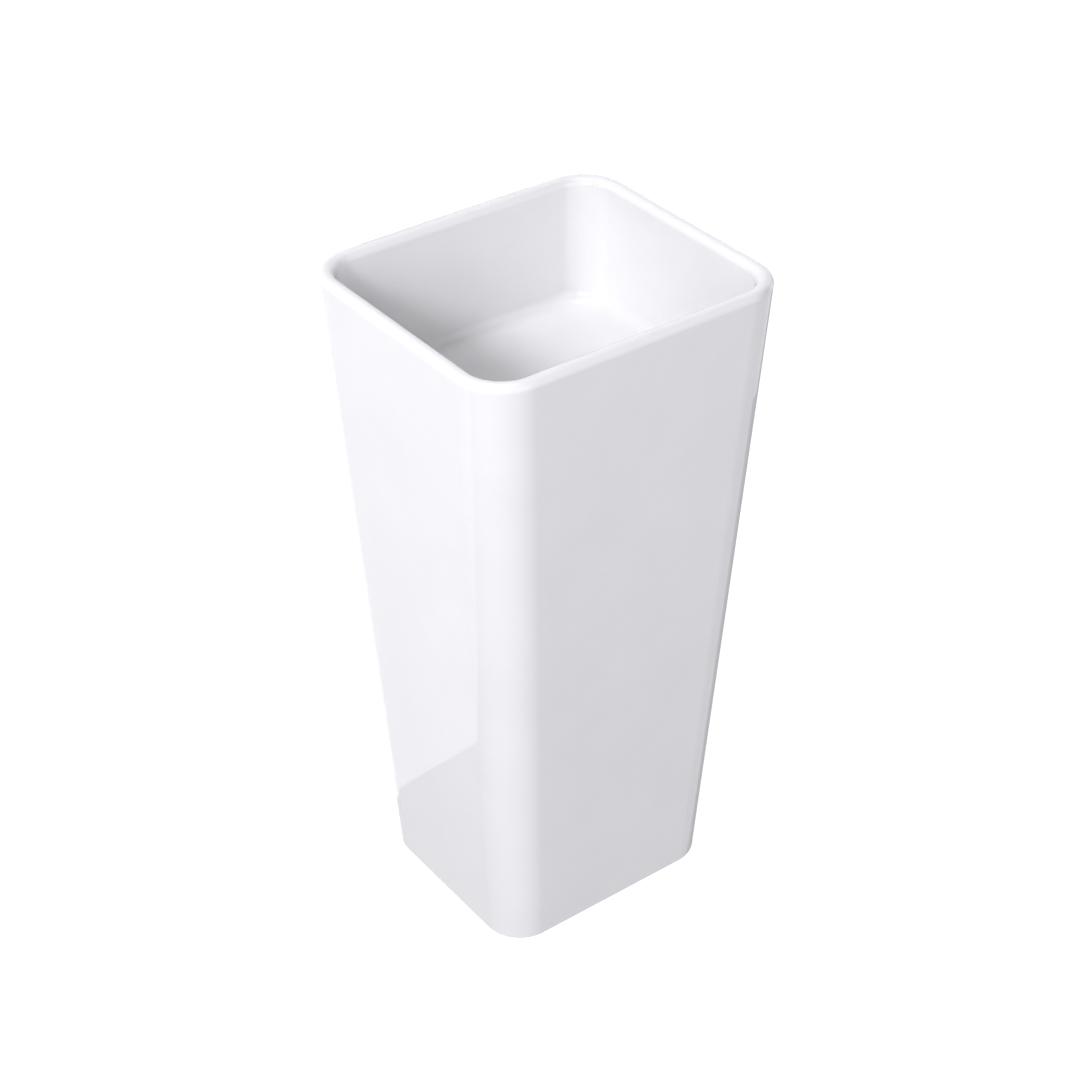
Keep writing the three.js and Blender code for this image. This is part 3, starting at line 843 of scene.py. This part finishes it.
def trap_inlet():
    tail = bottom_of("waste_body")
    collar_low, collar_high = tail - 5.2, tail - 2.9
    end = bottom_of("trap_dip_tube")
    collar = TAIL_RADIUS - 0.15
    tube = [(PIPE_BORE, end), (PIPE_RADIUS, end), (PIPE_RADIUS, collar_low, 0.8), (collar, collar_low)]
    tube += [(collar, collar_high), (PIPE_BORE, collar_high), (PIPE_BORE, end)]
    turned_piece("trap_dip_tube", tube, TRAP_PLASTIC)
    ring_piece("trap_union_seal", PIPE_RADIUS + 0.6, RUBBER)
    collar_nut("trap_union_nut", TAIL_RADIUS + 0.4, tail + 6, collar_low - GAP, tail - 11)


HEAD_RADIUS = 30.0
HEAD_BORE = 27.0
NECK_RADIUS = 21.2
SOCKET_RADIUS = 16.4
SPOUT_RADIUS = 20.0
SPOUT_END = 52.0
SOCKET_START = 42.0


def trap_head():
    low, top = bottom_of("trap_head"), top_of("trap_head")
    shoulder = top - 14
    outside = [(0, low), (HEAD_RADIUS - 0.4, low), (HEAD_RADIUS, low + 0.4), (HEAD_RADIUS, shoulder, 3)]
    outside += [(HEAD_RADIUS - 2, shoulder + 2.5, 2), (NECK_RADIUS, shoulder + 3, 0.6)]
    outside += [*wall(NECK_RADIUS, shoulder + 4.2, top - 1, 0.25), (NECK_RADIUS - 0.7, top), (0, top)]
    neck_thread = thread(NECK_RADIUS, shoulder + 4, top - 0.8, 2.5, 0.9)
    ceiling = shoulder - 1
    inside = [(0, low - 1), (HEAD_BORE, low - 1), (HEAD_BORE, ceiling - 3, 3), (HEAD_BORE - 3, ceiling, 2)]
    inside += [(SOCKET_RADIUS, ceiling), (SOCKET_RADIUS, top + 1), (0, top + 1)]
    spout_wall = wall(SPOUT_RADIUS, SOCKET_START, SPOUT_END - 1, 0.25)
    spout = [(0, 18), (SPOUT_RADIUS, 18), *spout_wall, (SPOUT_RADIUS - 0.8, SPOUT_END), (0, SPOUT_END)]
    spout_thread = thread(SPOUT_RADIUS, SOCKET_START, SPOUT_END - 0.5, 2.5, 0.9)
    bore = [(0, 15), (PIPE_BORE, 15), (PIPE_BORE, SOCKET_START), (SOCKET_RADIUS, SOCKET_START)]
    bore += [(SOCKET_RADIUS, SPOUT_END + 1), (0, SPOUT_END + 1)]

    def laid(profile, form=None):
        bm = lathe(profile, 96, form)
        bmesh.ops.transform(bm, matrix=ALONG_Y, verts=bm.verts)
        return make_object("laid", bm, TRAP_PLASTIC)

    head = make_object("trap_head", lathe(rounded(outside, 0.4), 96, neck_thread), TRAP_PLASTIC)
    combine(head, laid([point[:2] for point in spout], spout_thread), "UNION")
    combine(head, make_object("inside", lathe(rounded(inside, 0.4), 96), TRAP_PLASTIC), "DIFFERENCE")
    combine(head, laid(bore), "DIFFERENCE")
    stand_for("trap_head", shade(head))
    ring_piece("trap_top_seal", PIPE_RADIUS + GAP, RUBBER, radius=0.6)
    seal_top = top_of("trap_top_seal")
    collar_nut("trap_top_nut", NECK_RADIUS + 0.4, shoulder + 4, seal_top + GAP, seal_top + 7)


def trap_cup():
    low, top = bottom_of("trap_cup"), top_of("trap_cup")
    ledge = top - 20.4
    collar = radius_of("trap_cup")
    bore = 27.6
    profile = [(0, low + 1.2), (9, low + 1.2, 0.8), (10.5, low, 0.6), (20, low, 3), (27, low + 3, 3)]
    profile += [(30.5, low + 10, 4), (31, ledge - 5, 2), (collar - 0.8, ledge - 0.6, 1)]
    ribbed = (ledge + 1, top - 1.5)
    threaded = HEAD_RADIUS + 0.4
    profile += [*wall(collar, *ribbed, 1), (collar - 0.8, top), (threaded, top), (threaded, ledge)]
    profile += [(bore, ledge), (bore, low + 12, 3), (bore - 4, low + 6, 3), (0, low + 4)]
    turned_piece("trap_cup", profile, TRAP_PLASTIC, segments=240, form=grip(collar, *ribbed, 30, 0.8))
    ring_piece("trap_cup_seal", bore + 0.1, RUBBER, radius=0.6)


def wall_outlet():
    wall_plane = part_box("outlet_pipe")[1][1] / MM
    pipe_start = SOCKET_START + 0.4
    pipe = [(PIPE_BORE, pipe_start), (PIPE_RADIUS, pipe_start, 0.8), (PIPE_RADIUS, wall_plane)]
    pipe += [(PIPE_BORE, wall_plane), (PIPE_BORE, pipe_start)]
    turned_piece("outlet_pipe", pipe, TRAP_PLASTIC, place=ALONG_Y)
    seal_end = SPOUT_END + 3.3
    span = (SPOUT_END + GAP, seal_end)
    ring_piece("outlet_seal", PIPE_RADIUS + GAP, RUBBER, radius=0.6, place=ALONG_Y, span=span)
    collar_nut("outlet_nut", SPOUT_RADIUS + 0.4, SPOUT_END - 14, seal_end + GAP, seal_end + 5, ALONG_Y)
    start = wall_plane - 9
    inner = PIPE_RADIUS + GAP
    back = wall_plane - GAP
    rim = ROSETTE_RADIUS
    bell = [(inner, start), (19, start, 0.8), (21, start + 1, 3), (31, start + 5, 4), (rim, start + 8, 1)]
    bell += [(rim, back, 0.3), (rim - 1.5, back, 0.3), (29.5, start + 6.5, 3), (20, start + 3, 2)]
    bell += [(inner, start + 3), (inner, start)]
    turned_piece("wall_rosette", bell, CHROME, place=ALONG_Y)


# ---------- floor fixings ----------


def bevelled(obj, width):
    """Applies a small bevel to every sharp edge."""
    modifier = obj.modifiers.new("edges", "BEVEL")
    modifier.width = width * MM
    modifier.segments = 2
    modifier.limit_method = "ANGLE"
    modifier.angle_limit = math.radians(40)
    bpy.context.view_layer.update()
    mesh = bpy.data.meshes.new_from_object(obj.evaluated_get(bpy.context.evaluated_depsgraph_get()))
    obj.modifiers.clear()
    obj.data = mesh
    return obj


def floor_bracket(side_name, side):
    """A steel angle: one leg on the floor, one against the inside of the leaning rear wall."""
    node = f"{side_name}_bracket"
    sheet = 3.0
    width = 26.0
    top = top_of(node)
    floor_leg = 50.0
    bend = 3.0

    def rear(z):
        return rear_face(z) - SHELL_WALL - 0.4

    path = [(rear(0), 0, bend + sheet), (rear(top), top), (rear(top) - sheet, top)]
    path += [(rear(sheet) - sheet, sheet, bend), (rear(0) - floor_leg, sheet), (rear(0) - floor_leg, 0)]
    section = rounded(path + path[:1], 0.0, steps=8)[:-1]
    section = list(dict.fromkeys((round(y, 5), round(z, 5)) for y, z in section))
    bm = prism(section, -width / 2, width / 2)
    upright = Matrix(((0, 0, 1, side * FIXING_X), (1, 0, 0, 0), (0, 1, 0, 0), (0, 0, 0, 1)))
    bmesh.ops.transform(bm, matrix=upright, verts=bm.verts)
    bracket = bevelled(make_object(node, bm, ZINC), 0.5)
    floor_hole = lathe([(0, -5), (3.5, -5), (3.5, sheet + 5), (0, sheet + 5)], 48)
    hole_place = Matrix.Translation((side * FIXING_X, rear(0) - 32, 0))
    bmesh.ops.transform(floor_hole, matrix=hole_place, verts=floor_hole.verts)
    combine(bracket, make_object("floor_hole", floor_hole, ZINC), "DIFFERENCE")
    combine(bracket, make_object("screw_hole", drill(4.2, side), ZINC), "DIFFERENCE")
    stand_for(node, shade(bracket))


def rear_fixing(side_name, side):
    """Sleeve, screw, washer, nut and cap in one hole of the rear wall."""
    place = rear_place(side)
    inside = -SHELL_WALL - 3.4
    shank = 3.0
    sleeve = [(3.4, 1 - SHELL_WALL), (5.6, 1 - SHELL_WALL), (5.6, GAP), (9, GAP), (9, 2.3), (3.4, 2.3)]
    turned_piece(f"{side_name}_screw_sleeve", sleeve + sleeve[:1], NYLON, place=place, segments=64)
    washer = [(3.3, 2.6), (6.2, 2.6), (6.2, 4.2), (3.3, 4.2), (3.3, 2.6)]
    turned_piece(f"{side_name}_washer", washer, ZINC, radius=0.2, place=place, segments=64)
    end = inside - 10
    pitch = 1.0
    rod = [(0, end), (2.4, end), *[(r, z) for r, z, *_ in wall(shank, end + 0.6, -4, pitch / 8)]]
    rod += [(shank, 6), (0, 6)]
    screw = make_object("screw", lathe(rod, 48, thread(shank, end + 0.3, -4, pitch, 0.55)), ZINC)
    combine(screw, hex_solid(10, 0, 4.5, 8.5, ZINC), "UNION")
    nut = hex_solid(10, shank + GAP, inside - 5.3, inside - GAP, ZINC, pitch)
    for node, obj in ((f"{side_name}_screw", screw), (f"{side_name}_nut", nut)):
        obj.data.transform(scaled_place(place))
        stand_for(node, shade(obj))
    cap = [(0, 10), (5, 9.6, 2), (8, 8.8, 1), (9.3, 6.6, 1), (9.3, GAP, 0.2), (10.8, GAP, 0.3)]
    cap += [(10.8, 7, 2.5), (9, 9.8, 2), (5, 11, 3), (0, 11.4)]
    turned_piece(f"{side_name}_cover_cap", cap, GLOSS_PLASTIC, radius=1, place=place)


def scaled_place(place):
    """A placing in millimetres, for a mesh that is already in metres."""
    moved = place.copy()
    moved.translation = place.translation * MM
    return moved


# ---------- camera, floor and light ----------

STUDIO_TINT = (0.97, 0.96, 1.0)
LIGHT_TARGET = (0, 0, 0.6)
FILL_POWER = 30
# Softboxes: azimuth, elevation, distance, size, and power as a multiple of the fill power
SOFTBOXES = {
    "key": (-80, 36, 5.0, 0.8, 5),
    "corner_fill": (-45, 25, 5.5, 3.0, 4),
    "front_fill": (5, 20, 5.5, 3.0, 1.5),
    "side_fill": (30, 15, 5.5, 3.0, 1),
    "back_fill": (180, 50, 5.5, 3.0, 2),
    "top_fill": (0, 89, 5.5, 3.0, 2.5),
    "rear_fill": (165, 10, 5.5, 2.5, 2),
    "right_fill": (95, 8, 5.5, 2.5, 1),
}
FLOOR_HALF = 30.0
FLOOR_WHITE = 0.95
FLOOR_MATT = 0.15
FLOOR_GLOW = 0.65
FLOOR_SHEEN = 1.0
WALL_Y = 0.194
WALL_HALF = 4.0
WALL_TOP = 3.0
WALL_SHEEN_LEFT = 1.6
WALL_SHEEN_RIGHT = 1.8
# Painted shadow: dim cards for the basin's own shadow behind it and to its right, as the glaze and the chrome
# mirror it
SHADE_SHEEN = 0.4
SHADE_LEFT = 0.12
SHADE_RIGHT = 1.2
SHADE_TOP = 0.7
SHADE_FRONT = -0.14
BEHIND_SHADE_SHEEN = 0.45
BEHIND_LEFT = -0.12

CAMERA = {
    "target": (0.02, 0.039, 0.452),
    "azimuth": -36.5,
    "elevation": 35.0,
    "distance": 2.885,
    "roll": -0.3,
    "lens": 78,
}


def direction(azimuth, elevation):
    """Unit vector towards a viewer: azimuth 0 stands on the user's side, and grows to the right."""
    turn, tilt = math.radians(azimuth), math.radians(elevation)
    return Vector((math.sin(turn) * math.cos(tilt), -math.cos(turn) * math.cos(tilt), math.sin(tilt)))


def facing(target, away, distance, roll=0.0):
    """Placing of a camera or light that looks at target from distance along away."""
    turned = away.to_track_quat("Z", "Y").to_matrix().to_4x4() @ Matrix.Rotation(math.radians(roll), 4, "Z")
    return Matrix.Translation(Vector(target) + away * distance) @ turned


def camera():
    data = bpy.data.cameras.new("camera")
    data.lens = CAMERA["lens"]
    data.sensor_width = 36.0
    data.clip_end = 100
    camera = bpy.data.objects.new("camera", data)
    bpy.context.scene.collection.objects.link(camera)
    away = direction(CAMERA["azimuth"], CAMERA["elevation"])
    camera.matrix_world = facing(CAMERA["target"], away, CAMERA["distance"], CAMERA["roll"])
    bpy.context.scene.camera = camera


def area_light(name, azimuth, elevation, distance, size, power, tint=(1, 1, 1)):
    data = bpy.data.lights.new(name, "AREA")
    data.shape = "RECTANGLE"
    data.size, data.size_y = size
    data.energy = power
    data.color = tint
    light = bpy.data.objects.new(name, data)
    bpy.context.scene.collection.objects.link(light)
    light.matrix_world = facing(LIGHT_TARGET, direction(azimuth, elevation), distance)
    light.visible_camera = False


def glow_plane(name, corners, strength, tint=(1, 1, 1), matt=0.0, **visible):
    """A stage plane that gives light; visible names the rays that meet it, and matt is its diffuse share."""
    bm = bmesh.new()
    bm.faces.new([bm.verts.new(corner) for corner in corners])
    mesh = bpy.data.meshes.new(name)
    bm.to_mesh(mesh)
    bm.free()
    material = bpy.data.materials.new(name)
    material.use_nodes = True
    tree = material.node_tree
    tree.nodes.clear()
    glow = tree.nodes.new("ShaderNodeEmission")
    glow.inputs["Color"].default_value = (*tint, 1)
    glow.inputs["Strength"].default_value = strength
    out = tree.nodes.new("ShaderNodeOutputMaterial")
    surface = glow.outputs["Emission"]
    if matt:
        diffuse = tree.nodes.new("ShaderNodeBsdfDiffuse")
        diffuse.inputs["Color"].default_value = (matt, matt, matt, 1)
        both = tree.nodes.new("ShaderNodeAddShader")
        tree.links.new(surface, both.inputs[0])
        tree.links.new(diffuse.outputs["BSDF"], both.inputs[1])
        surface = both.outputs["Shader"]
    tree.links.new(surface, out.inputs["Surface"])
    mesh.materials.append(material)
    plane = bpy.data.objects.new(name, mesh)
    bpy.context.scene.collection.objects.link(plane)
    for ray in ("camera", "diffuse", "glossy", "transmission", "shadow"):
        setattr(plane, f"visible_{ray}", visible.get(ray, False))
    return plane


def flat(left, right, front, back, z):
    return [(left, front, z), (right, front, z), (right, back, z), (left, back, z)]


def upright(left, right, y, top):
    return [(left, y, 0), (right, y, 0), (right, y, top), (left, y, top)]


def stage():
    """A floor that looks almost white, the glow it throws back, and what the glaze mirrors round it, with dim
    cards of painted shadow.
    """
    whole = (-FLOOR_HALF, FLOOR_HALF, -FLOOR_HALF, FLOOR_HALF)
    shade = (SHADE_LEFT, SHADE_RIGHT, SHADE_FRONT, WALL_Y)
    glow_plane("floor", flat(*whole, -0.0002), FLOOR_WHITE, matt=FLOOR_MATT, camera=True)
    glow_plane("floor_glow", flat(*whole, -0.0004), FLOOR_GLOW, STUDIO_TINT, diffuse=True)
    glow_plane("floor_sheen", flat(*whole, -0.0006), FLOOR_SHEEN, STUDIO_TINT, glossy=True)
    # painted shadow: a dim card on the floor to the basin's right, seen only in reflections
    glow_plane("floor_shade", flat(*shade, -0.0005), SHADE_SHEEN, STUDIO_TINT, glossy=True)
    left_wall = upright(-WALL_HALF, 0, WALL_Y, WALL_TOP)
    right_wall = upright(0, WALL_HALF, WALL_Y, WALL_TOP)
    wall_shade = upright(SHADE_LEFT, SHADE_RIGHT, WALL_Y - 0.0005, SHADE_TOP)
    behind = upright(BEHIND_LEFT, SHADE_LEFT, WALL_Y - 0.0005, HEIGHT * MM)
    glow_plane("wall_sheen_left", left_wall, WALL_SHEEN_LEFT, STUDIO_TINT, glossy=True)
    glow_plane("wall_sheen_right", right_wall, WALL_SHEEN_RIGHT, STUDIO_TINT, glossy=True)
    # painted shadow: dim cards on the wall to the basin's right and behind it, seen only in reflections
    glow_plane("wall_shade", wall_shade, SHADE_SHEEN, STUDIO_TINT, glossy=True)
    glow_plane("wall_shade_behind", behind, BEHIND_SHADE_SHEEN, STUDIO_TINT, glossy=True)


def world():
    world = bpy.data.worlds.new("studio")
    world.use_nodes = True
    background = world.node_tree.nodes["Background"]
    background.inputs["Color"].default_value = (1, 1, 1, 1)
    background.inputs["Strength"].default_value = 1.0
    bpy.context.scene.world = world
    world.cycles_visibility.diffuse = False
    world.cycles_visibility.glossy = False


def build():
    ceramic_body()
    plug_cap()
    plug_underside()
    click_cartridge()
    click_spring()
    waste_body()
    waste_clamp()
    trap_inlet()
    trap_head()
    trap_cup()
    wall_outlet()
    for side_name, side in (("left", -1), ("right", 1)):
        floor_bracket(side_name, side)
        rear_fixing(side_name, side)


def softboxes():
    for name, (azimuth, elevation, distance, size, share) in SOFTBOXES.items():
        area_light(name, azimuth, elevation, distance, (size, size), share * FILL_POWER, STUDIO_TINT)


camera()
build()
stage()
world()
softboxes()
bpy.context.scene.view_settings.view_transform = "Standard"
